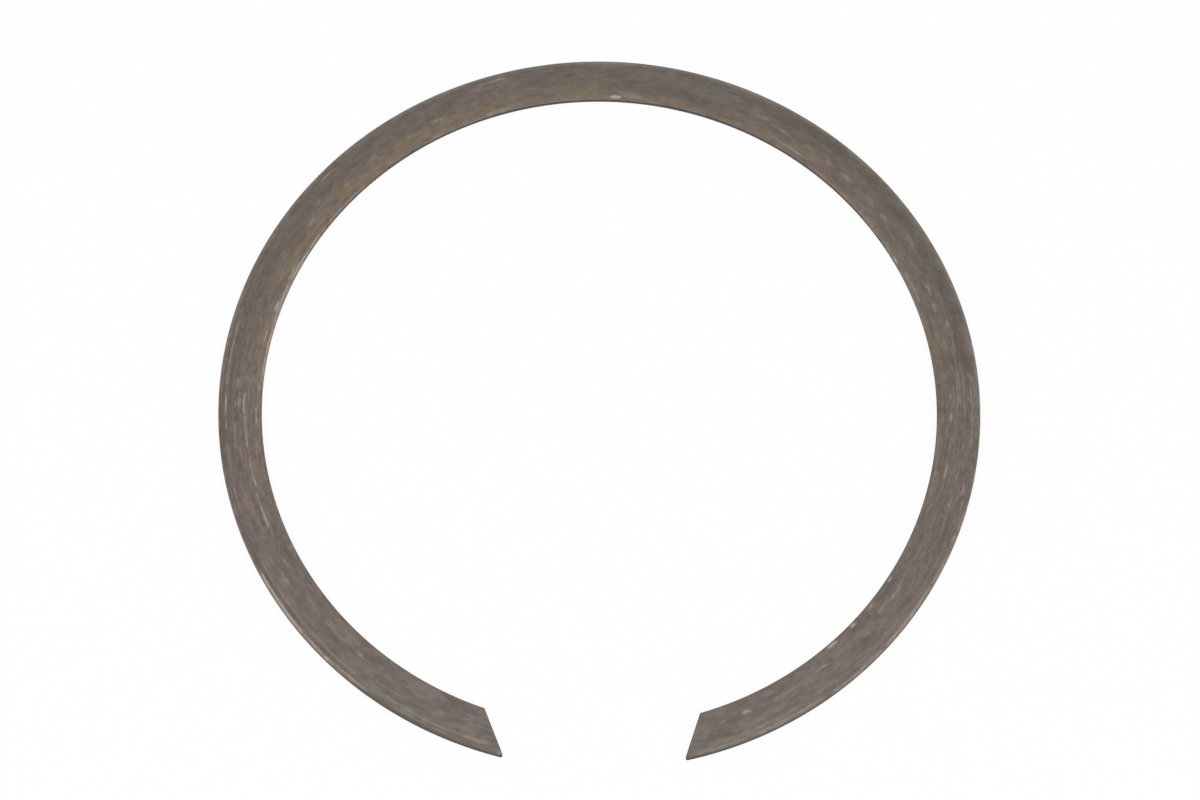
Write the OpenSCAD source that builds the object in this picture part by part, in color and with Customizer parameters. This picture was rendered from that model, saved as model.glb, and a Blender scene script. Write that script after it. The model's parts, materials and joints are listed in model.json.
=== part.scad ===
// A snap ring of flat spring steel wire for a groove in a bore. It lies flat, its
// axis is Z, its mid-thickness is at Z = 0 and its gap faces -Y.

/* [Wire] */
// Outer diameter of the ring while it is free
outer_d = 100; // [70:1:160]
// Radial width of the flat wire
wire_w = 5.7; // [3:0.1:9]
// Thickness of the flat wire
wire_t = 0.7; // [0.5:0.05:2]
// Radius of the wire's edges along the inside of the ring
inner_edge_r = 0.15; // [0.05:0.01:0.2]

/* [Groove margin] */
// Radial width of the thinner margin that seats in the groove
margin_w = 0.95; // [0.5:0.05:2]
// Depth that each face loses across the margin
margin_drop = 0.07; // [0.02:0.01:0.1]
// Radius of the wire's edges along the outside of the ring
outer_edge_r = 0.13; // [0.05:0.01:0.14]

/* [Ends] */
// Width of the gap between the tips of the two ends
gap_w = 23.4; // [8:0.1:36]
// Slant of the cut at the -X end, from the middle line of the gap
left_slant = 21.3; // [0:0.1:26]
// Slant of the cut at the +X end, from the middle line of the gap
right_slant = 16.5; // [0:0.1:26]
// Radius of the sharp outer tip of the -X end, from above
left_tip_r = 0.25; // [0.1:0.05:0.6]
// Radius of the sharp outer tip of the +X end, from above
right_tip_r = 0.25; // [0.1:0.05:0.6]
// Radius of the blunt inner corner of the -X end, from above
left_heel_r = 0.3; // [0.1:0.05:1.2]
// Radius of the blunt inner corner of the +X end, from above
right_heel_r = 0.3; // [0.1:0.05:1.2]

/* [Hidden] */
$fn = 256;
// Clearance by which every cutter passes the wire
past = 1;
// How far a rounding arc stands out of the two faces that it joins, so that it crosses both
skim = 0.002;
outer_r = outer_d / 2;
inner_r = outer_r - wire_w;
shoulder_r = outer_r - margin_w;
half_t = wire_t / 2;
margin_slope = atan(margin_drop / margin_w);
// Where the cut at the +X end meets the outer edge. The -X end's is its mirror image.
tip = [gap_w / 2, -sqrt(outer_r * outer_r - gap_w * gap_w / 4)];

// The way inwards along the cut at the +X end, and the way from the cut into the wire
function inwards(slant) = [sin(slant), cos(slant)];
function into_wire(slant) = [cos(slant), -sin(slant)];

// The point nearest the tip that lies on a circle round the ring's axis and is a
// given depth inside the cut
function near_cut(slant, radius, depth) =
    let (from = tip + depth * into_wire(slant), b = from * inwards(slant))
    from - (b + sqrt(b * b - from * from + radius * radius)) * inwards(slant);

// What a corner of an outline loses when an arc round a centre replaces it
module corner_waste(centre, start, corner, end) {
    difference() {
        polygon([centre, start, 2 * corner - centre, end]);
        translate(centre) circle(r = norm(start - centre));
    }
}

// What the upper edge on the inside of the wire loses
module inner_edge_waste() {
    centre = [inner_r + inner_edge_r, half_t - inner_edge_r];
    corner_waste(centre, centre + [0, inner_edge_r], [inner_r, half_t], centre - [inner_edge_r, 0]);
}

// What the upper edge on the outside of the wire loses, where the sloping margin ends
module outer_edge_waste() {
    centre_x = outer_r - outer_edge_r;
    fallen = (centre_x - shoulder_r) * tan(margin_slope) + outer_edge_r / cos(margin_slope);
    centre = [centre_x, half_t - fallen];
    on_margin = centre + outer_edge_r * [sin(margin_slope), cos(margin_slope)];
    corner_waste(centre, on_margin, [outer_r, half_t - margin_drop], centre + [outer_edge_r, 0]);
}

// Section of the wire: flat, with rounded edges and a margin that thins outwards
module wire_section() {
    difference() {
        polygon([
            [inner_r, -half_t],
            [shoulder_r, -half_t],
            [outer_r, -half_t + margin_drop],
            [outer_r, half_t - margin_drop],
            [shoulder_r, half_t],
            [inner_r, half_t]
        ]);
        for (face = [0, 1]) mirror([0, face]) {
            inner_edge_waste();
            outer_edge_waste();
        }
    }
}

// The gap's half on the +X side, wider inside the ring than outside
module half_gap(slant) {
    outside = tip - (outer_r + past + tip[1]) / cos(slant) * inwards(slant);
    inside = tip + inner_r / 2 * inwards(slant);
    polygon([[-past, outside[1]], outside, inside, [-past, inside[1]]]);
}

// Waste of the sharp outer tip
module tip_waste(slant, radius) {
    centre = near_cut(slant, outer_r - radius + skim, radius - skim);
    on_rim = centre * (1 + radius / norm(centre));
    corner_waste(centre, centre - radius * into_wire(slant), tip, on_rim);
}

// Waste of the blunt inner corner
module heel_waste(slant, radius) {
    centre = near_cut(slant, inner_r + radius - skim, radius - skim);
    on_rim = centre * (1 - radius / norm(centre));
    corner_waste(centre, centre - radius * into_wire(slant), near_cut(slant, inner_r, 0), on_rim);
}

// All that cutting and rounding the +X end removes
module end_waste(slant, tip_radius, heel_radius) {
    height = wire_t + 2 * past;
    linear_extrude(height, center = true) half_gap(slant);
    linear_extrude(height, center = true) tip_waste(slant, tip_radius);
    linear_extrude(height, center = true) heel_waste(slant, heel_radius);
}

// The ring, bent from one length of wire and cut at a slant at both ends
module snap_ring() {
    color([0.44, 0.40, 0.37])
    difference() {
        rotate_extrude() wire_section();
        end_waste(right_slant, right_tip_r, right_heel_r);
        mirror([1, 0, 0]) end_waste(left_slant, left_tip_r, left_heel_r);
    }
}

snap_ring();
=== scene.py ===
# A flat snap ring of dark spring steel that lies on a white studio floor, seen from above
import json
import math

import bpy
import numpy as np
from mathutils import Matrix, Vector


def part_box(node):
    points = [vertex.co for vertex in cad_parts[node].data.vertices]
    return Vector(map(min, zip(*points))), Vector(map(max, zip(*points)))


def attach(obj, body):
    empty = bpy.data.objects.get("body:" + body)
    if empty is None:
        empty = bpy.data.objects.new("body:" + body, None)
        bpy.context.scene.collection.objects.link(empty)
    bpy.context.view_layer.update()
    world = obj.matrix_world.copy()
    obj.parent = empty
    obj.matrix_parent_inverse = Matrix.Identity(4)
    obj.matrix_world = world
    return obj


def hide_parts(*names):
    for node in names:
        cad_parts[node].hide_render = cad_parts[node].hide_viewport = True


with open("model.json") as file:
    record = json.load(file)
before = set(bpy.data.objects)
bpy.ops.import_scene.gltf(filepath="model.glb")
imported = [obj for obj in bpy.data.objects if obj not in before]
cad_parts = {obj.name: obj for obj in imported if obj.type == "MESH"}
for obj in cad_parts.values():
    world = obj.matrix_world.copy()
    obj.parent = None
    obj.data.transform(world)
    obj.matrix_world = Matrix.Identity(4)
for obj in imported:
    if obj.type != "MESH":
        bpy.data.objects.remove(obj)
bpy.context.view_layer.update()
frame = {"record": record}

MM = 0.001
MOUNTS = {mount["name"]: mount for mount in frame["record"]["mounts"]}
LOWEST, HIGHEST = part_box("snap_ring")

# The wire, with the sizes that the frame gives and those of its edges
OUTER_RADIUS = MOUNTS["outer_edge"]["dims"]["r_mm"] * MM
INNER_RADIUS = MOUNTS["inner_edge"]["dims"]["r_mm"] * MM
HALF_THICKNESS = HIGHEST.z
MEAN_RADIUS = (OUTER_RADIUS + INNER_RADIUS) / 2
MARGIN_WIDTH = 0.95 * MM
MARGIN_DROP = 0.07 * MM
OUTER_EDGE_RADIUS = 0.13 * MM
INNER_EDGE_RADIUS = 0.15 * MM

# The two ends: the gap between their tips, and each end's slant and corner radii
GAP_WIDTH = 23.4 * MM
LEFT_END = {"slant": math.radians(21.3), "tip": 0.25 * MM, "heel": 0.3 * MM}
RIGHT_END = {"slant": math.radians(16.5), "tip": 0.25 * MM, "heel": 0.3 * MM}
SHEARED_EDGE = 0.05 * MM

# How far the dark oxide and painted shade of the walls reach down from a face, and over a face beside a
# cut
DARK_BELOW_FACE = 0.06 * MM
DARK_BESIDE_CUT = 0.1 * MM

# Faces along the wire and across each part of one of its two sides
STEPS_ALONG = 760
EDGE_STEPS = 5
MARGIN_STEPS = 8
FACE_STEPS = 44
SHEARED_STEPS = 3

# The strips in which the wire is laid out for a bake, and the room left between them
STRIPS = 4
STRIP_GAP = 0.006

# The strip for the two cuts, how much of its height they fill, and how far they are kept from
# the wire's sides on the map in millimetres
ENDS_STRIP = 0.045
CUT_SHARE = 0.8
CUT_AWAY = 40

# The camera, at the photograph's viewing angle
CAMERA_ELEVATION = math.radians(68.13)
CAMERA_TURN = math.radians(-0.15)
CAMERA_ROLL = math.radians(1.02)
CAMERA_DISTANCE = 1.1
CAMERA_LENS_MM = 251.4
CAMERA_SENSOR_MM = 36
CAMERA_CLIP_END = 20
CAMERA_AIM = Vector((0.06, 1.37, 0)) * MM

# Places on the wire are turns in degrees from the middle of the gap, clockwise from above,
# and depths in millimetres from the outer edge. Each mark is the turns at which it starts
# and ends, the depth of its middle, its width and its strength.

# Rubbed down to bare steel, and painted highlights along the edges, the margin's shoulder and the inner
# wall
RUBBED_AND_HIGHLIGHTS = [
    # outer edge: bare steel and painted highlights on its rounding
    (13.7, 14.9, 0.42, 0.26, 0.70),
    (14.6, 20.0, 0.58, 0.20, 0.26),
    (20.0, 32.0, 0.55, 0.18, 0.34),
    (36.5, 43.0, 0.45, 0.20, 0.60),
    (43.0, 49.8, 0.32, 0.18, 0.70),
    (44.3, 45.0, 0.26, 0.20, 1.00),
    (49.8, 61.9, 0.30, 0.18, 0.90),
    (71.1, 73.6, 0.38, 0.18, 0.45),
    (78.1, 79.1, 0.15, 0.15, 0.40),
    (86.1, 88.1, 0.15, 0.13, 0.35),
    (90.0, 132.0, 0.26, 0.17, 0.30),
    (129.3, 132.8, 0.15, 0.15, 0.50),
    (132.0, 148.0, 0.18, 0.22, 0.20),
    (148.0, 212.5, 0.15, 0.24, 0.26),
    (212.5, 264.0, 0.13, 0.24, 0.24),
    (269.9, 270.9, 0.30, 0.13, 0.40),
    (286.0, 299.0, 0.34, 0.15, 0.45),
    (290.2, 290.9, 0.20, 0.13, 0.60),
    (294.9, 295.9, 0.25, 0.14, 0.60),
    (299.0, 311.2, 0.32, 0.20, 0.66),
    (311.2, 322.6, 0.30, 0.26, 0.50),
    (322.6, 336.0, 0.42, 0.30, 0.50),
    (336.0, 345.2, 0.45, 0.30, 0.40),
    # shoulder of the margin: bare steel and a painted highlight on its ridge
    (16.0, 21.2, 1.22, 0.36, 0.46),
    (22.8, 27.8, 1.12, 0.36, 0.42),
    (26.2, 27.2, 0.92, 0.20, 0.45),
    (27.5, 37.9, 1.20, 0.34, 0.36),
    (38.5, 59.2, 1.22, 0.22, 0.36),
    (59.2, 63.1, 1.05, 0.18, 0.35),
    (72.1, 76.6, 0.97, 0.13, 0.45),
    (79.6, 83.4, 1.00, 0.13, 0.45),
    (85.6, 87.4, 1.00, 0.13, 0.50),
    (88.1, 91.6, 0.97, 0.13, 0.75),
    (91.8, 103.8, 0.95, 0.13, 0.55),
    (130.3, 133.0, 0.87, 0.14, 0.60),
    (159.7, 164.8, 0.90, 0.18, 0.50),
    (262.9, 276.4, 1.10, 0.13, 0.50),
    (268.9, 272.4, 1.10, 0.13, 0.40),
    (281.9, 283.6, 1.15, 0.13, 0.70),
    (290.9, 308.7, 1.15, 0.22, 0.20),
    (305.0, 322.0, 1.16, 0.27, 0.26),
    (327.0, 341.3, 1.16, 0.32, 0.38),
    # drawn streaks in the outer half
    (57.6, 60.4, 2.60, 0.36, 0.42),
    (61.0, 68.0, 2.75, 0.50, 0.20),
    (79.4, 82.4, 2.65, 0.13, 0.40),
    (82.4, 83.5, 2.10, 0.22, 0.55),
    (83.6, 87.1, 2.20, 0.13, 0.50),
    (88.6, 90.9, 2.60, 0.13, 0.60),
    (89.3, 90.6, 2.20, 0.13, 0.50),
    (89.3, 91.4, 2.80, 0.13, 0.55),
    (92.6, 94.4, 2.35, 0.31, 0.50),
    (126.6, 128.2, 2.60, 0.33, 0.35),
    (175.2, 179.8, 2.00, 0.45, 0.22),
    (194.0, 202.0, 2.30, 0.50, 0.16),
    (204.6, 207.8, 2.85, 0.42, 0.38),
    (237.8, 240.4, 2.35, 0.34, 0.45),
    (253.4, 255.0, 2.60, 0.36, 0.42),
    (256.4, 258.9, 2.50, 0.15, 0.40),
    (261.9, 269.9, 2.05, 0.13, 0.40),
    (262.4, 269.4, 2.90, 0.13, 0.40),
    (262.9, 268.9, 2.60, 0.13, 0.40),
    (264.9, 269.4, 3.40, 0.13, 0.40),
    (275.9, 290.9, 2.30, 0.13, 0.30),
    (276.9, 284.9, 2.70, 0.13, 0.30),
    (285.2, 285.9, 2.40, 0.18, 0.80),
    (328.4, 329.6, 2.45, 0.30, 0.40),
    (341.3, 342.9, 2.75, 0.33, 0.32),
    # drawn streaks in the inner half
    (40.4, 42.2, 3.62, 0.30, 0.50),
    (44.3, 49.8, 3.60, 0.24, 0.36),
    (51.7, 54.4, 3.72, 0.28, 0.36),
    (60.0, 62.2, 3.72, 0.24, 0.42),
    (67.9, 72.1, 3.72, 0.13, 0.80),
    (69.5, 70.1, 3.70, 0.18, 0.60),
    (72.1, 74.6, 3.62, 0.13, 0.60),
    (75.1, 76.9, 3.78, 0.14, 0.70),
    (76.6, 80.6, 3.68, 0.13, 0.65),
    (82.1, 85.4, 3.58, 0.13, 0.70),
    (85.4, 88.1, 3.50, 0.13, 0.60),
    (88.3, 91.6, 3.32, 0.13, 0.80),
    (91.4, 91.7, 3.40, 0.44, 0.70),
    (123.0, 125.2, 3.58, 0.24, 0.48),
    (132.2, 133.3, 3.66, 0.27, 0.55),
    (137.9, 140.4, 3.15, 0.30, 0.30),
    (150.3, 153.4, 3.40, 0.30, 0.45),
    (155.0, 157.1, 3.35, 0.30, 0.36),
    (208.4, 212.6, 3.25, 0.32, 0.38),
    (214.8, 216.4, 3.40, 0.36, 0.36),
    (219.2, 220.5, 3.40, 0.36, 0.45),
    (222.7, 225.0, 3.40, 0.33, 0.50),
    (228.3, 230.4, 3.30, 0.33, 0.40),
    (232.3, 234.0, 3.40, 0.33, 0.45),
    (246.4, 248.9, 3.30, 0.33, 0.45),
    (250.0, 252.0, 3.45, 0.42, 0.45),
    (256.4, 258.9, 3.50, 0.15, 0.40),
    (266.4, 267.2, 3.83, 0.15, 0.70),
    (269.9, 271.2, 3.83, 0.15, 0.80),
    (274.4, 276.4, 3.80, 0.14, 0.50),
    (278.7, 281.4, 3.83, 0.14, 0.75),
    (282.9, 284.2, 3.83, 0.14, 0.45),
    (288.4, 290.4, 3.70, 0.15, 0.40),
    (300.8, 304.8, 3.72, 0.20, 0.55),
    (304.6, 307.5, 3.90, 0.30, 0.42),
    (308.7, 312.9, 3.75, 0.28, 0.34),
    (313.2, 318.8, 3.85, 0.25, 0.34),
    (319.1, 322.1, 3.82, 0.27, 0.52),
    (322.1, 328.4, 3.62, 0.27, 0.34),
    (334.2, 335.7, 3.72, 0.33, 0.72),
    (336.6, 337.2, 3.90, 0.15, 0.35),
    (338.4, 340.0, 3.60, 0.34, 0.34),
    # inner edge: bare steel and painted highlights on its rounding
    (63.1, 63.7, 5.35, 0.20, 0.70),
    (86.1, 89.4, 5.00, 0.13, 0.70),
    (92.3, 93.5, 5.20, 0.22, 0.60),
    (94.1, 109.1, 5.50, 0.16, 0.75),
    (101.1, 103.3, 4.90, 0.14, 0.75),
    (103.6, 107.1, 5.20, 0.22, 0.45),
    (107.0, 108.9, 5.12, 0.27, 0.85),
    (108.0, 112.6, 5.40, 0.20, 0.75),
    (112.6, 116.2, 5.15, 0.22, 0.62),
    (113.4, 119.6, 5.45, 0.16, 0.80),
    (119.6, 122.9, 5.45, 0.15, 0.85),
    (122.7, 134.3, 5.47, 0.13, 0.50),
    (134.3, 150.0, 5.45, 0.12, 0.20),
    (146.0, 190.0, 5.60, 0.18, 0.36),
    (149.6, 150.9, 5.42, 0.18, 0.55),
    (158.0, 181.0, 5.12, 0.22, 0.20),
    (159.3, 164.2, 5.28, 0.20, 0.55),
    (172.0, 176.5, 5.10, 0.22, 0.25),
    (175.2, 175.8, 5.10, 0.15, 0.40),
    (181.0, 182.9, 5.18, 0.24, 1.15),
    (182.8, 186.7, 5.00, 0.30, 0.45),
    (210.2, 216.5, 4.85, 0.28, 0.45),
    (217.0, 251.0, 5.42, 0.16, 0.32),
    (240.1, 241.3, 5.45, 0.16, 0.90),
    (243.3, 249.6, 5.10, 0.18, 0.50),
    (280.2, 281.2, 5.15, 0.15, 0.50),
    (300.8, 302.0, 5.30, 0.22, 0.70),
    (306.8, 307.8, 5.20, 0.21, 0.65),
    (311.2, 312.3, 5.30, 0.24, 0.95),
    (315.6, 317.7, 5.28, 0.24, 0.95),
    # inner wall: bare steel and painted highlights
    (84.0, 92.0, 5.74, 0.12, 0.40),
    (91.5, 118.0, 5.74, 0.12, 0.75),
    (117.5, 123.0, 5.74, 0.12, 0.50),
    (122.5, 129.0, 5.74, 0.12, 0.28),
    (231.0, 238.0, 5.74, 0.12, 0.32),
    (237.5, 268.0, 5.74, 0.12, 0.52),
    (267.5, 276.0, 5.74, 0.12, 0.34),
]

# Stained dark
STAINED = [
    (13.0, 38.5, 0.10, 0.26, 0.55),
    (20.6, 21.8, 1.50, 0.20, 0.80),
    (22.6, 25.1, 1.45, 0.20, 0.35),
    (38.0, 58.0, 0.78, 0.16, 0.30),
    (52.0, 62.0, 3.30, 0.60, 0.20),
    (58.0, 68.0, 0.50, 0.28, 0.40),
    (59.7, 67.1, 4.60, 0.50, 0.35),
    (66.0, 78.0, 0.10, 0.28, 0.15),
    (68.0, 78.0, 0.50, 0.28, 0.12),
    (76.0, 108.0, 1.60, 1.10, 0.26),
    (78.0, 92.0, 0.10, 0.28, 0.40),
    (78.0, 92.0, 0.50, 0.28, 0.40),
    (88.6, 91.3, 3.12, 0.08, 0.50),
    (91.0, 109.0, 0.60, 0.36, 0.24),
    (91.7, 92.1, 3.70, 0.20, 0.50),
    (92.0, 100.0, 1.35, 0.30, 0.40),
    (96.0, 256.0, 1.70, 2.50, 0.22),
    (112.0, 140.0, 0.06, 0.16, 0.35),
    (147.0, 158.0, 0.80, 0.80, 0.38),
    (158.0, 182.0, 0.80, 0.80, 0.08),
    (165.8, 174.9, 1.30, 0.40, 0.28),
    (173.4, 176.4, 1.90, 0.35, 0.60),
    (181.0, 200.0, 3.60, 0.90, 0.34),
    (198.3, 202.4, 1.30, 0.30, 0.50),
    (199.0, 206.0, 3.30, 0.60, 0.25),
    (205.0, 224.0, 1.30, 1.05, 0.52),
    (205.9, 215.5, 1.20, 0.50, 0.50),
    (219.6, 222.6, 2.60, 0.50, 0.40),
    (224.0, 266.0, 1.60, 0.90, 0.46),
    (240.8, 244.9, 1.50, 0.40, 0.35),
    (244.0, 255.0, 3.40, 1.80, 0.20),
    (246.0, 274.0, 4.80, 1.00, 0.14),
    (246.9, 249.9, 1.60, 0.30, 0.40),
    (252.0, 304.0, 2.20, 2.20, 0.14),
    (260.0, 270.0, 4.20, 1.40, 0.26),
    (294.4, 295.5, 2.75, 0.30, 0.32),
    (298.0, 309.0, 3.10, 0.50, 0.18),
    (301.3, 305.3, 4.80, 0.30, 0.35),
    (304.0, 328.0, 4.30, 1.50, 0.12),
    (321.0, 346.6, 0.02, 0.16, 0.40),
    (333.2, 333.9, 1.30, 0.12, 0.60),
    (335.9, 336.4, 1.70, 0.10, 0.40),
]

# Tinted golden
GOLDEN = [
    (13.4, 24.0, 0.55, 0.60, 0.55),
    (40.0, 50.0, 4.30, 0.45, 0.50),
    (65.1, 73.1, 2.70, 0.50, 0.50),
    (73.0, 88.0, 4.50, 0.90, 0.35),
    (86.0, 111.1, 4.90, 0.95, 0.85),
    (92.6, 94.4, 2.35, 0.40, 0.80),
    (109.1, 159.7, 4.50, 1.25, 0.95),
    (156.0, 166.0, 4.70, 0.90, 0.95),
    (157.6, 182.0, 4.60, 1.40, 0.55),
    (180.0, 216.5, 5.00, 0.70, 0.75),
    (214.6, 218.4, 3.90, 0.90, 0.80),
    (218.0, 262.0, 5.25, 0.35, 0.65),
    (254.0, 264.2, 4.60, 0.80, 0.70),
    (268.0, 284.0, 5.20, 0.50, 0.45),
    (320.5, 325.0, 0.40, 0.35, 0.50),
]

# Under a grey film, mostly near the ends
GREYED = [
    (12.0, 44.0, 3.00, 2.60, 1.00),
    (40.0, 72.0, 2.60, 1.60, 0.45),
    (144.5, 200.3, 1.20, 0.90, 0.35),
    (156.0, 168.0, 1.40, 1.10, 0.90),
    (178.0, 192.0, 0.60, 0.60, 0.80),
    (296.9, 304.8, 2.00, 0.80, 0.50),
    (300.0, 349.0, 2.60, 2.60, 1.00),
]

# Under a cool pale film along the outer edge, partly a painted sheen on its rounding
COOLED_AND_SHEEN = [
    (90.0, 126.0, 0.13, 0.30, 0.45),
    (118.0, 150.0, 0.12, 0.36, 0.60),
    (146.0, 268.0, 0.12, 0.40, 0.80),
    (268.0, 299.0, 0.08, 0.18, 0.60),
]

# A mark fades at its ends over a share of its length, at most so many degrees for each
# millimetre of its width. Across its width it fades softly or crisply, by these powers.
FADE_SHARE = 0.45
FADE_PER_WIDTH = 8
SOFTLY = 2
CRISPLY = 4

# Over how many millimetres the film and painted shade on the margin fade
MARGIN_FADE_MM = 0.15

# Where the drawing streaks show most: the turns of their two peaks, how far each spreads, and
# how strongly they show elsewhere
STREAKY_TURNS = (82.0, 273.0)
STREAKY_SPREAD = 26.0
STREAKY_LEAST = 0.28

# Colours as they look on the finished part, each as red, green and blue up to 255
BROWN_OXIDE = (120, 106, 100)
OLIVE_OXIDE = (106, 104, 95)
PURPLE_OXIDE = (115, 100, 99)
GOLDEN_OXIDE = (129, 113, 94)
DARK_FILM = (110, 103, 97)
PALE_FILM = (124, 117, 110)
PURPLE_FILM = (119, 106, 107)
# A cool pale film along the outer edge, partly painted sheen
COOL_FILM_AND_SHEEN = (127, 128, 122)
# A dark film on the margin, partly painted shade of the margin's slope
MARGIN_FILM_AND_SHADE = (95, 90, 77)
STAIN = (82, 75, 67)
DRAWN_LIGHT = (139, 128, 120)
DRAWN_DARK = (94, 85, 79)
# Bare steel, also the colour of the painted highlights along the edges and the margin's shoulder
BARE_STEEL_AND_HIGHLIGHT = (174, 163, 153)
# The walls' and cuts' colour: their dark oxide, and painted shade where they fall dark
WALL_OXIDE_AND_SHADE = (68, 62, 54)
PAPER = (243, 243, 243)
PAPER_FIBRE = (246, 246, 246)
WHITE = (255, 255, 255)

# The steel's noises: length and width of their lumps in millimetres, seed, detail and output
NOISES = {
    "clouds": (3.6, 1.7, 3.0, 3.0, "Fac"),
    "tinges": (2.2, 1.2, 13.0, 4.0, "Fac"),
    "shades": (4.4, 1.4, 41.0, 3.0, "Fac"),
    "patches": (1.8, 0.8, 7.0, 3.0, "Fac"),
    "dark_blots": (1.7, 0.6, 31.0, 3.0, "Fac"),
    "light_blots": (1.2, 0.4, 37.0, 3.0, "Fac"),
    "mottle": (1.1, 0.65, 53.0, 3.0, "Fac"),
    "hues": (3.2, 1.3, 59.0, 4.0, "Color"),
    "fine": (3.5, 0.14, 11.0, 2.0, "Fac"),
    "broad": (7.0, 0.4, 17.0, 2.0, "Fac"),
    "hairs": (2.0, 0.07, 47.0, 2.0, "Fac"),
    "specks": (0.32, 0.24, 29.0, 2.0, "Fac"),
    "dashes": (0.9, 0.16, 23.0, 3.0, "Fac"),
}

# Each layer of the steel goes from its strength at one value of a noise to that at another: the
# two values, and the two strengths where they aren't 0 and 1
RANGES = {
    "olive": (0.42, 0.6),
    "purple": (0.48, 0.6),
    "golden": (0.36, 0.6, 0.45, 1.15),
    "film": (0.36, 0.6, 0.5, 0.9),
    "pale_film": (0.4, 0.6),
    "purple_film": (0.46, 0.58, 0.0, 0.6),
    "shaded": (0.55, 0.36, 0.0, 0.36),
    "dark_blots": (0.54, 0.36),
    "light_blots": (0.52, 0.72),
    "dark_lines": (0.5, 0.36, 0.0, 0.6),
    "light_lines": (0.5, 0.64, 0.0, 0.6),
    "dark_hairs": (0.5, 0.3, 0.0, 0.3),
    "light_hairs": (0.5, 0.7, 0.0, 0.2),
    "stained": (0.38, 0.6, 1.4, 0.6),
    "bare_and_highlight": (0.55, 0.88, 0.1, 1.0),
    "roughness": (0.35, 0.65, 0.5, 0.38),
}

# The strengths of three layers where no drawing streaks show, and where they show most
WHERE_STREAKY = {"olive": (1.0, 0.5), "purple": (0.6, 1.0), "blots": (0.18, 0.6)}

# Strengths of the steel's other layers, and what each noise adds to the drawn surface's height
OLIVE_WHERE_STAINED = 0.6
MARGIN_STRENGTH = 0.2
HUE_REACH = 0.1
MOTTLE_REACH = 0.3
WEAR_EVENNESS = 0.5
CUT_DARKNESS = 0.7
FINE_HEIGHT = 0.35
BROAD_HEIGHT = 0.35
SPECK_HEIGHT = 0.3
HAIR_HEIGHT = 0.5

# The steel's surface: how metallic it is, how much smoother where it is bare and where highlights
# are painted, how much rougher on the cuts, and its relief
METALLIC = 0.9
BARE_AND_HIGHLIGHT_SMOOTHER = 0.08
CUT_ROUGHER = 0.15
RELIEF_STRENGTH = 0.35
RELIEF_DEPTH = 0.01 * MM

# How bright the surroundings are for diffuse surfaces, and the two lamps
WORLD_LEVEL = 0.6
LAMP_PLACES = {"left_softbox": (-0.8, -0.15, 0.75), "right_softbox": (0.8, -0.15, 0.75)}
LAMP_SIZE = 0.6
LAMP_WATTS = 4.2

# The floor: how much of it glows for the camera, its size, the room under the ring, its grain
FLOOR_GLOW = 0.92
FLOOR_SIZE = 4.0
FLOOR_CLEARANCE = 0.01 * MM
FIBRE_SCALE = 900.0


def linear(colour):
    """The linear colour that Blender's sockets take, from an sRGB one given up to 255."""
    parts = [part / 255 for part in colour]
    parts = [part / 12.92 if part <= 0.04045 else ((part + 0.055) / 1.055) ** 2.4 for part in parts]
    return parts + [1.0]


def arc(centre, radius, start, end):
    """Points on an arc in the wire's section, with angles in degrees from straight out."""
    angles = np.radians(np.linspace(start, end, EDGE_STEPS + 1))
    return np.column_stack([centre[0] + radius * np.cos(angles), centre[1] + radius * np.sin(angles)])


def line(start, end, steps):
    """Points from start towards end, without either of them."""
    return np.linspace(start, end, steps + 1)[1:-1]


def upper_profile():
    """Radius and height of the section's upper half, from its outer wall inwards."""
    slope = math.atan(MARGIN_DROP / MARGIN_WIDTH)
    shoulder = (OUTER_RADIUS - MARGIN_WIDTH, HALF_THICKNESS)
    outer_x = OUTER_RADIUS - OUTER_EDGE_RADIUS
    fallen = (outer_x - shoulder[0]) * math.tan(slope) + OUTER_EDGE_RADIUS / math.cos(slope)
    outer_edge = arc((outer_x, HALF_THICKNESS - fallen), OUTER_EDGE_RADIUS, 0, 90 - math.degrees(slope))
    inner_centre = (INNER_RADIUS + INNER_EDGE_RADIUS, HALF_THICKNESS - INNER_EDGE_RADIUS)
    inner_edge = arc(inner_centre, INNER_EDGE_RADIUS, 90, 180)
    return np.vstack([
        outer_edge,
        line(outer_edge[-1], shoulder, MARGIN_STEPS),
        [shoulder],
        line(shoulder, inner_edge[0], FACE_STEPS),
        inner_edge,
    ])


def wire_section():
    """The whole section as a loop: over its upper half inwards, and back under its lower half."""
    upper = upper_profile()
    return np.vstack([upper, (upper * (1, -1))[::-1]])


def near_cut(end, radius, depth):
    """The point near an end's tip at a given radius and depth inside its cut, for an end at +X."""
    slant = end["slant"]
    inwards = np.array([math.sin(slant), math.cos(slant)])
    into_wire = np.array([math.cos(slant), -math.sin(slant)])
    tip = np.array([GAP_WIDTH / 2, -math.sqrt(OUTER_RADIUS ** 2 - GAP_WIDTH ** 2 / 4)])
    start = tip + depth * into_wire
    back = start @ inwards
    return start - (back + math.sqrt(back ** 2 - start @ start + radius ** 2)) * inwards


def turn_of(point):
    """The angle of a point from the middle of the gap."""
    return math.atan2(point[0], -point[1])


def end_turn(end, radius):
    """The angle from the middle of the gap at which an end's outline meets a radius."""
    slant = end["slant"]
    into_wire = np.array([math.cos(slant), -math.sin(slant)])
    for corner, centre_radius, side in (
        (end["tip"], OUTER_RADIUS - end["tip"], 1),
        (end["heel"], INNER_RADIUS + end["heel"], -1),
    ):
        centre = near_cut(end, centre_radius, corner)
        leaves_cut = np.linalg.norm(centre - corner * into_wire)
        if side * (radius - leaves_cut) > 0:
            reach = (radius ** 2 + centre_radius ** 2 - corner ** 2) / (2 * radius * centre_radius)
            return turn_of(centre) - math.acos(min(reach, 1.0))
    return turn_of(near_cut(end, radius, 0.0))


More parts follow.
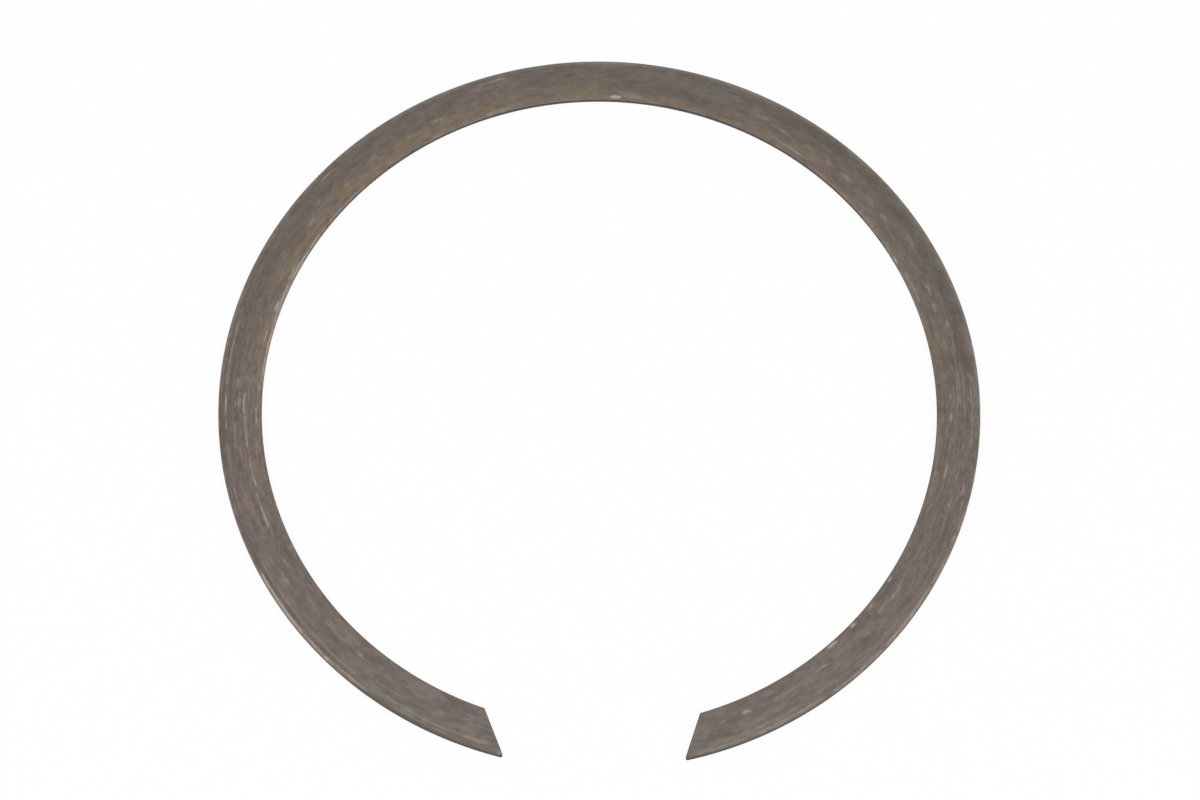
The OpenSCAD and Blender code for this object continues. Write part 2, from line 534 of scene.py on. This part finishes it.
def places_along():
    """Share of the wire's length, fall of the sheared edge, and its darkness, at each step."""
    length = MEAN_RADIUS * (2 * math.pi - 2 * math.asin(GAP_WIDTH / 2 / OUTER_RADIUS))
    rolled = np.radians(np.linspace(0, 90, SHEARED_STEPS + 1))
    inside = SHEARED_EDGE + DARK_BESIDE_CUT
    near_end = np.append(SHEARED_EDGE * (1 - np.cos(rolled)), inside) / length
    falls = np.append(SHEARED_EDGE * (1 - np.sin(rolled)), 0.0)
    darkness = np.append(np.ones(SHEARED_STEPS + 1), 0.0)
    middle_steps = STEPS_ALONG - 2 * (SHEARED_STEPS + 1)
    middle = np.linspace(inside / length, 1 - inside / length, middle_steps + 1)[1:-1]
    nothing = np.zeros(len(middle))
    return (
        np.concatenate([near_end, middle, 1 - near_end[::-1]]),
        np.concatenate([falls, nothing, falls[::-1]]),
        np.concatenate([darkness, nothing, darkness[::-1]]),
    )


def band(values, start, end, soft):
    """1 between start and end, fading to 0 within soft on either side."""
    rise = np.clip((values - start) / soft + 0.5, 0, 1)
    fall = np.clip((end - values) / soft + 0.5, 0, 1)
    return rise * fall


def marked(marks, turns, depths, power):
    """How strongly a list of marks shows at each place. A higher power gives crisper edges."""
    total = np.zeros_like(turns)
    for start, end, depth, width, strength in marks:
        soft = min(FADE_SHARE * (end - start), FADE_PER_WIDTH * width)
        across = np.exp(-np.abs((depths - depth) / width) ** power)
        total = np.maximum(total, strength * band(turns, start, end, soft) * across)
    return total


def streaky(turns):
    """How strongly the drawing streaks show at each turn."""
    peaks = sum(np.exp(-((turns - peak) / STREAKY_SPREAD) ** 2) for peak in STREAKY_TURNS)
    return STREAKY_LEAST + (1 - STREAKY_LEAST) * peaks


def add_value(mesh, name, values):
    """Stores a number for each vertex that the material reads."""
    layer = mesh.attributes.new(name, "FLOAT", "POINT")
    layer.data.foreach_set("value", values.astype(np.float32).ravel())


def add_attribute(mesh, name, channels):
    """Stores four numbers for each vertex as a colour that the material reads."""
    layer = mesh.color_attributes.new(name, "FLOAT_COLOR", "POINT")
    layer.data.foreach_set("color", np.stack(channels, -1).astype(np.float32).ravel())


def add_map(mesh, name, places):
    """Stores a place on a map for each corner of each face."""
    layer = mesh.uv_layers.new(name=name)
    layer.uv.foreach_set("vector", places.astype(np.float32).ravel())


def wire_grid(section):
    """Turn and place of each vertex: one row for each step along, one column for each section point."""
    shares, falls, _ = places_along()
    starts = np.array([end_turn(LEFT_END, radius) for radius in section[:, 0]])
    ends = 2 * math.pi - np.array([end_turn(RIGHT_END, radius) for radius in section[:, 0]])
    turns = starts + (ends - starts) * shares[:, None]
    radii = np.broadcast_to(section[:, 0], turns.shape)
    heights = section[:, 1] * (1 - falls[:, None] / HALF_THICKNESS)
    places = np.stack([-radii * np.sin(turns), -radii * np.cos(turns), heights], -1)
    return turns, places


def side_faces(rows, columns):
    """The vertices of the faces along the wire, and each one's row and column."""
    row, column = np.meshgrid(np.arange(rows - 1), np.arange(columns), indexing="ij")
    row, column = row.ravel(), column.ravel()
    after = (column + 1) % columns
    faces = np.stack([row, row, row + 1, row + 1], 1) * columns
    faces += np.stack([column, after, after, column], 1)
    return faces, row, column


def end_faces(rows, columns):
    """The vertices of the faces across the two cuts."""
    faces = []
    for first, flipped in ((0, True), ((rows - 1) * columns, False)):
        last = first + columns - 1
        for step in range(columns // 2 - 1):
            face = [first + step, first + step + 1, last - step - 1, last - step]
            faces.append(face[::-1] if flipped else face)
    return faces


def wire_places(turns, row, column, around):
    """Where each corner of the faces along the wire lies, in millimetres along and across it."""
    along = turns * MEAN_RADIUS / MM
    after = (column + 1) % turns.shape[1]
    left = [along[row, column], along[row, after]]
    right = [along[row + 1, after], along[row + 1, column]]
    across = around[np.stack([column, column + 1, column + 1, column], 1)] / MM
    return np.stack([np.stack(left + right, 1), across], -1).reshape(-1, 2)


def strip_places(row, column, around):
    """Where each corner of the faces along the wire lies in the strips of the bake's map."""
    rows_each = STEPS_ALONG / STRIPS
    strip = (row // rows_each).astype(int)
    start = (row - strip * rows_each) / rows_each
    height = (1 - ENDS_STRIP) / STRIPS
    low = strip * height + STRIP_GAP / 2
    room = height - STRIP_GAP
    along = np.stack([start, start, start + 1 / rows_each, start + 1 / rows_each], 1)
    along = STRIP_GAP / 2 + (1 - STRIP_GAP) * along
    share = around / around[-1]
    across = np.stack([share[column], share[column + 1], share[column + 1], share[column]], 1)
    return np.stack([along, low[:, None] + room * across], -1).reshape(-1, 2)


def cut_places(places, faces):
    """Where each corner of the faces across the cuts lies on both maps."""
    on_wire, on_strip = [], []
    middle = 1 - ENDS_STRIP / 2
    height = CUT_SHARE * ENDS_STRIP / (2 * HALF_THICKNESS)
    room = (0.5 - 2 * STRIP_GAP) / (OUTER_RADIUS - INNER_RADIUS)
    for vertex in (vertex for face in faces for vertex in face):
        x, y, z = places[vertex]
        depth = OUTER_RADIUS - math.hypot(x, y)
        on_wire.append((z / MM - CUT_AWAY, depth / MM))
        left = STRIP_GAP if x < 0 else 0.5 + STRIP_GAP
        on_strip.append((left + room * depth, middle + height * z))
    return on_wire, on_strip


def add_maps(mesh, turns, places, section, row, column, cuts):
    """Adds the map in millimetres along and across the wire, and the map for a bake."""
    around = np.linalg.norm(np.diff(np.vstack([section, section[:1]]), axis=0), axis=1)
    around = np.concatenate([[0], np.cumsum(around)])
    from_wall_middle = section[0, 1] + around
    on_wire, on_strip = cut_places(places.reshape(-1, 3), cuts)
    add_map(mesh, "wire", np.vstack([wire_places(turns, row, column, from_wall_middle), on_wire]))
    add_map(mesh, "OFBake", np.vstack([strip_places(row, column, around), on_strip]))


def add_wear_and_painted_light(mesh, turns, section):
    """Stores the wear and the painted highlights, shade and sheen at each vertex, and which part of the
    wire it is on.

    The lower face's marks are the upper one's in mirror image.
    """
    radii, heights = section.T
    degrees = np.degrees(turns)
    degrees = np.where(heights > 0, degrees, 360 - degrees)
    depths = np.broadcast_to((OUTER_RADIUS - radii) / MM, turns.shape)
    # The first channel holds bare steel and the painted highlights along the edges
    kinds = ((RUBBED_AND_HIGHLIGHTS, SOFTLY), (STAINED, SOFTLY), (GOLDEN, CRISPLY), (GREYED, CRISPLY))
    wear_and_highlights = [marked(marks, degrees, depths, power).ravel() for marks, power in kinds]
    add_attribute(mesh, "wear_and_highlights", wear_and_highlights)
    # A cool pale film along the outer edge, partly painted sheen
    add_value(mesh, "cooled_and_sheen", marked(COOLED_AND_SHEEN, degrees, depths, SOFTLY))
    # Where the walls and cuts take their dark oxide and painted shade, and where the margin takes its
    # film and painted shade
    top = np.where(radii > MEAN_RADIUS, HALF_THICKNESS - MARGIN_DROP, HALF_THICKNESS)
    wall = np.clip((top - np.abs(heights)) / DARK_BELOW_FACE, 0, 1)
    margin = np.clip((MARGIN_WIDTH / MM - depths) / MARGIN_FADE_MM, 0, 1)
    dark_cut = places_along()[2][:, None]
    form = (wall, margin, dark_cut, streaky(degrees))
    add_attribute(mesh, "form", [np.broadcast_to(part, turns.shape).ravel() for part in form])


def build_ring():
    """The ring as one closed mesh with its wear and painted light, and its maps in millimetres and for a
    bake.
    """
    section = wire_section()
    turns, places = wire_grid(section)
    rows, columns = turns.shape
    sides, row, column = side_faces(rows, columns)
    cuts = end_faces(rows, columns)
    mesh = bpy.data.meshes.new("snap_ring_steel")
    mesh.from_pydata(places.reshape(-1, 3).tolist(), [], sides.tolist() + cuts)
    mesh.polygons.foreach_set("use_smooth", np.arange(len(mesh.polygons)) < len(sides))
    add_wear_and_painted_light(mesh, turns, section)
    add_maps(mesh, turns, places, section, row, column, cuts)
    ring = bpy.data.objects.new("snap_ring_steel", mesh)
    bpy.context.scene.collection.objects.link(ring)
    return ring


class Nodes:
    """A node tree under construction. Its methods add nodes, and take sockets or plain values."""

    def __init__(self, owner):
        owner.use_nodes = True
        self.tree = owner.node_tree
        self.tree.nodes.clear()

    def node(self, kind, **settings):
        """A new node with its settings."""
        node = self.tree.nodes.new(kind)
        for setting, value in settings.items():
            setattr(node, setting, value)
        return node

    def feed(self, socket, value):
        """Links a socket to the input, or sets the input's own value."""
        if isinstance(value, bpy.types.NodeSocket):
            self.tree.links.new(value, socket)
        else:
            socket.default_value = value

    def maths(self, operation, *values, clamp=False):
        """The result of a sum on one or two values."""
        node = self.node("ShaderNodeMath", operation=operation, use_clamp=clamp)
        for socket, value in zip(node.inputs, values):
            self.feed(socket, value)
        return node.outputs[0]

    def mix(self, share, under, over):
        """A colour with a share of another laid over it."""
        node = self.node("ShaderNodeMix", data_type="RGBA")
        self.feed(node.inputs["Factor"], share)
        self.feed(node.inputs["A"], under)
        self.feed(node.inputs["B"], over)
        return node.outputs["Result"]

    def spread(self, value, low, high, to_low=0.0, to_high=1.0):
        """A value between low and high, moved to the range from to_low to to_high."""
        node = self.node("ShaderNodeMapRange")
        for socket, part in zip(node.inputs, (value, low, high, to_low, to_high)):
            self.feed(socket, part)
        return node.outputs[0]

    def attribute(self, name):
        """The four numbers of one of the mesh's attributes."""
        node = self.node("ShaderNodeAttribute", attribute_name=name)
        parts = self.node("ShaderNodeSeparateColor")
        self.feed(parts.inputs[0], node.outputs["Color"])
        return [*parts.outputs, node.outputs["Alpha"]]

    def value(self, name):
        """The number of one of the mesh's plain attributes."""
        return self.node("ShaderNodeAttribute", attribute_name=name).outputs["Fac"]

    def grain(self, place, length, width, seed, detail, output):
        """Noise whose lumps are about length by width millimetres, along and across the wire."""
        scaled = self.node("ShaderNodeVectorMath", operation="MULTIPLY_ADD")
        self.feed(scaled.inputs[0], place)
        self.feed(scaled.inputs[1], (1 / length, 1 / width, 0))
        self.feed(scaled.inputs[2], (0, 0, seed))
        noise = self.node("ShaderNodeTexNoise")
        self.feed(noise.inputs["Vector"], scaled.outputs[0])
        self.feed(noise.inputs["Scale"], 1.0)
        self.feed(noise.inputs["Detail"], detail)
        return noise.outputs[output]

    def vary(self, colour, noise, reach):
        """A colour made up to reach brighter or darker, as a share of it, by noise round 0.5."""
        factor = self.node("ShaderNodeVectorMath", operation="MULTIPLY_ADD")
        self.feed(factor.inputs[0], noise)
        self.feed(factor.inputs[1], (2 * reach,) * 3)
        self.feed(factor.inputs[2], (1 - reach,) * 3)
        varied = self.node("ShaderNodeVectorMath", operation="MULTIPLY")
        self.feed(varied.inputs[0], colour)
        self.feed(varied.inputs[1], factor.outputs[0])
        return varied.outputs[0]

    def seen(self):
        """1 for rays from the camera or by way of a reflection or glass, and 0 for others."""
        rays = self.node("ShaderNodeLightPath")
        direct = self.maths("MAXIMUM", rays.outputs["Is Camera Ray"], rays.outputs["Is Glossy Ray"])
        return self.maths("MAXIMUM", direct, rays.outputs["Is Transmission Ray"])

    def finish(self, kind, shader):
        """Ends the tree in an output node."""
        self.feed(self.node(kind).inputs["Surface"], shader)


class Steel(Nodes):
    """The nodes of the steel. It holds what their layers share: the mesh's marks and the noises."""

    def __init__(self, owner):
        super().__init__(owner)
        place = self.node("ShaderNodeUVMap", uv_map="wire").outputs[0]
        # The first channel holds bare steel and the painted highlights along the edges
        self.rubbed, self.stained, self.golden, self.greyed = self.attribute("wear_and_highlights")
        self.wall, self.margin, self.dark_cut, self.streaks = self.attribute("form")
        self.noises = {name: self.grain(place, *sizes) for name, sizes in NOISES.items()}

    def layer(self, name, noise):
        """How strongly a layer shows for a noise."""
        return self.spread(noise, *RANGES[name])

    def where_streaky(self, name):
        """A layer's strength for how streaky the place is."""
        return self.spread(self.streaks, 0.0, 1.0, *WHERE_STREAKY[name])

    def oxide(self):
        """Brown oxide with olive clouds, purple tinges and golden patches."""
        olive = self.layer("olive", self.noises["clouds"])
        olive = self.maths("MULTIPLY", olive, self.where_streaky("olive"))
        stained = self.maths("MULTIPLY", self.stained, OLIVE_WHERE_STAINED)
        olive = self.maths("ADD", olive, stained, clamp=True)
        colour = self.mix(olive, linear(BROWN_OXIDE), linear(OLIVE_OXIDE))
        purple = self.layer("purple", self.noises["tinges"])
        purple = self.maths("MULTIPLY", purple, self.where_streaky("purple"))
        colour = self.mix(purple, colour, linear(PURPLE_OXIDE))
        golden = self.layer("golden", self.noises["patches"])
        golden = self.maths("MULTIPLY", self.golden, golden, clamp=True)
        return self.mix(golden, colour, linear(GOLDEN_OXIDE))

    def filmed_with_painted_light(self, colour):
        """A colour under the films near the ends, on the margin and along the outer edge; the margin's
        film is partly painted shade, the outer edge's partly painted sheen.
        """
        pale = self.layer("pale_film", self.noises["shades"])
        film = self.mix(pale, linear(DARK_FILM), linear(PALE_FILM))
        film = self.mix(self.layer("purple_film", self.noises["tinges"]), film, linear(PURPLE_FILM))
        greyed = self.layer("film", self.noises["patches"])
        greyed = self.maths("MULTIPLY", self.greyed, greyed, clamp=True)
        colour = self.mix(greyed, colour, film)
        # The margin darkened by a film and painted shade
        margin = self.maths("MULTIPLY", self.margin, MARGIN_STRENGTH)
        colour = self.mix(margin, colour, linear(MARGIN_FILM_AND_SHADE))
        # The outer edge lightened by a cool film and painted sheen
        return self.mix(self.value("cooled_and_sheen"), colour, linear(COOL_FILM_AND_SHEEN))

    def mottled(self, colour):
        """A colour with darker shades, blots, and small changes of hue and brightness."""
        colour = self.mix(self.layer("shaded", self.noises["shades"]), colour, linear(STAIN))
        blotchy = self.where_streaky("blots")
        dark = self.maths("MULTIPLY", self.layer("dark_blots", self.noises["dark_blots"]), blotchy)
        colour = self.mix(dark, colour, linear(DRAWN_DARK))
        light = self.maths("MULTIPLY", self.layer("light_blots", self.noises["light_blots"]), blotchy)
        colour = self.mix(light, colour, linear(DRAWN_LIGHT))
        colour = self.vary(colour, self.noises["hues"], HUE_REACH)
        return self.vary(colour, self.noises["mottle"], MOTTLE_REACH)

    def drawn_height(self):
        """The height of the drawn surface, with lines along the wire and specks."""
        height = self.maths("MULTIPLY", self.noises["fine"], FINE_HEIGHT)
        height = self.maths("ADD", height, self.maths("MULTIPLY", self.noises["broad"], BROAD_HEIGHT))
        return self.maths("ADD", height, self.maths("MULTIPLY", self.noises["specks"], SPECK_HEIGHT))

    def streaked(self, colour, height):
        """A colour with the drawn surface's dark and light lines, and hairlines."""
        dark = self.maths("MULTIPLY", self.layer("dark_lines", height), self.streaks)
        colour = self.mix(dark, colour, linear(DRAWN_DARK))
        light = self.maths("MULTIPLY", self.layer("light_lines", height), self.streaks)
        colour = self.mix(light, colour, linear(DRAWN_LIGHT))
        colour = self.mix(self.layer("dark_hairs", self.noises["hairs"]), colour, linear(DRAWN_DARK))
        return self.mix(self.layer("light_hairs", self.noises["hairs"]), colour, linear(DRAWN_LIGHT))

    def bareness_and_highlights(self):
        """How bare the steel is rubbed, and how strongly the painted highlights show, more ragged where
        it is rubbed less.
        """
        ragged = self.maths("MULTIPLY", self.rubbed, WEAR_EVENNESS)
        ragged = self.maths("ADD", self.noises["dashes"], ragged)
        return self.maths("MULTIPLY", self.rubbed, self.layer("bare_and_highlight", ragged), clamp=True)

    def worn_with_painted_light(self, colour, bare_and_highlight):
        """A colour with stains, bare steel with painted highlights, and the dark oxide and painted shade
        of the walls and cuts.
        """
        stained = self.layer("stained", self.noises["clouds"])
        stained = self.maths("MULTIPLY", self.stained, stained, clamp=True)
        colour = self.mix(stained, colour, linear(STAIN))
        # Bare steel, with the painted highlights along the edges
        colour = self.mix(bare_and_highlight, colour, linear(BARE_STEEL_AND_HIGHLIGHT))
        # The walls darkened by their oxide and painted shade, except where bare steel and painted
        # highlights show
        wall_oxide_and_shade = self.maths("MULTIPLY", self.wall, self.maths("SUBTRACT", 1.0, bare_and_highlight))
        colour = self.mix(wall_oxide_and_shade, colour, linear(WALL_OXIDE_AND_SHADE))
        # The cuts and their sheared edges darkened by oxide and painted shade
        dark_cut = self.maths("MULTIPLY", self.dark_cut, CUT_DARKNESS)
        return self.mix(dark_cut, colour, linear(WALL_OXIDE_AND_SHADE))

    def roughness(self, height, bare_and_highlight):
        """How rough the steel is, for the drawn surface's height and how bare it is."""
        rough = self.layer("roughness", height)
        rough = self.maths("SUBTRACT", rough, self.maths("MULTIPLY", bare_and_highlight, BARE_AND_HIGHLIGHT_SMOOTHER))
        return self.maths("ADD", rough, self.maths("MULTIPLY", self.dark_cut, CUT_ROUGHER))

    def relief(self, height):
        """The normals of the drawn surface with its hairlines."""
        bump = self.node("ShaderNodeBump")
        hairs = self.maths("MULTIPLY", self.noises["hairs"], HAIR_HEIGHT)
        self.feed(bump.inputs["Strength"], RELIEF_STRENGTH)
        self.feed(bump.inputs["Distance"], RELIEF_DEPTH)
        self.feed(bump.inputs["Height"], self.maths("ADD", height, hairs))
        return bump.outputs[0]


def spring_steel():
    """Oiled spring steel: mottled oxide, drawing streaks along the wire, rubbed and stained places,
    painted highlights along the edges, painted shade on the walls, cuts and margin, and a painted sheen
    along the outer edge.
    """
    material = bpy.data.materials.new("spring_steel_drawn")
    steel = Steel(material)
    height = steel.drawn_height()
    bare_and_highlight = steel.bareness_and_highlights()
    colour = steel.mottled(steel.filmed_with_painted_light(steel.oxide()))
    colour = steel.worn_with_painted_light(steel.streaked(colour, height), bare_and_highlight)
    shader = steel.node("ShaderNodeBsdfPrincipled")
    steel.feed(shader.inputs["Base Color"], colour)
    steel.feed(shader.inputs["Metallic"], METALLIC)
    steel.feed(shader.inputs["Roughness"], steel.roughness(height, bare_and_highlight))
    steel.feed(shader.inputs["Normal"], steel.relief(height))
    steel.finish("ShaderNodeOutputMaterial", shader.outputs[0])
    return material


def floor_paper():
    """Pale paper that looks white and keeps a soft shadow under the object."""
    material = bpy.data.materials.new("floor_paper")
    paper = Nodes(material)
    fibres = paper.node("ShaderNodeTexNoise")
    paper.feed(fibres.inputs["Scale"], FIBRE_SCALE)
    lit = paper.node("ShaderNodeBsdfDiffuse")
    paper.feed(lit.inputs["Color"], paper.mix(fibres.outputs["Fac"], linear(PAPER), linear(PAPER_FIBRE)))
    glow = paper.node("ShaderNodeEmission")
    paper.feed(glow.inputs["Strength"], 1.0)
    blend = paper.node("ShaderNodeMixShader")
    paper.feed(blend.inputs[0], paper.maths("MULTIPLY", paper.seen(), FLOOR_GLOW))
    paper.feed(blend.inputs[1], lit.outputs[0])
    paper.feed(blend.inputs[2], glow.outputs[0])
    paper.finish("ShaderNodeOutputMaterial", blend.outputs[0])
    return material


def build_floor():
    """A wide floor just under the ring."""
    bpy.ops.mesh.primitive_plane_add(size=FLOOR_SIZE, location=(0, 0, LOWEST.z - FLOOR_CLEARANCE))
    floor = bpy.context.object
    floor.name = "floor"
    floor.data.materials.append(floor_paper())


def build_world():
    """Even light from all round, and white where the camera or a reflection sees it."""
    world = bpy.data.worlds.new("studio")
    bpy.context.scene.world = world
    studio = Nodes(world)
    background = studio.node("ShaderNodeBackground")
    studio.feed(background.inputs["Color"], linear(WHITE))
    studio.feed(background.inputs["Strength"], studio.spread(studio.seen(), 0.0, 1.0, WORLD_LEVEL, 1.0))
    studio.finish("ShaderNodeOutputWorld", background.outputs[0])


def add_lamp(name, place):
    """A square softbox that faces the ring."""
    lamp = bpy.data.lights.new(name, "AREA")
    lamp.size = LAMP_SIZE
    lamp.energy = LAMP_WATTS
    box = bpy.data.objects.new(name, lamp)
    box.location = place
    box.rotation_euler = (-Vector(place)).to_track_quat("-Z", "Y").to_euler()
    bpy.context.scene.collection.objects.link(box)


def build_camera():
    """The camera on the gap's side, high above the ring."""
    reach = CAMERA_DISTANCE * math.cos(CAMERA_ELEVATION)
    height = CAMERA_DISTANCE * math.sin(CAMERA_ELEVATION)
    place = Vector((reach * math.sin(CAMERA_TURN), -reach * math.cos(CAMERA_TURN), height))
    camera = bpy.data.objects.new("camera", bpy.data.cameras.new("camera"))
    camera.data.sensor_width = CAMERA_SENSOR_MM
    camera.data.lens = CAMERA_LENS_MM
    camera.data.clip_end = CAMERA_CLIP_END
    camera.location = place
    camera.rotation_euler = (CAMERA_AIM - place).to_track_quat("-Z", "Y").to_euler()
    camera.rotation_euler.rotate_axis("Z", CAMERA_ROLL)
    bpy.context.scene.collection.objects.link(camera)
    bpy.context.scene.camera = camera


bpy.context.scene.view_settings.view_transform = "Standard"
build_camera()
build_world()
build_floor()
for lamp_name, lamp_place in LAMP_PLACES.items():
    add_lamp(lamp_name, lamp_place)

ring = build_ring()
ring.data.materials.append(spring_steel())
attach(ring, "root")
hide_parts("snap_ring")
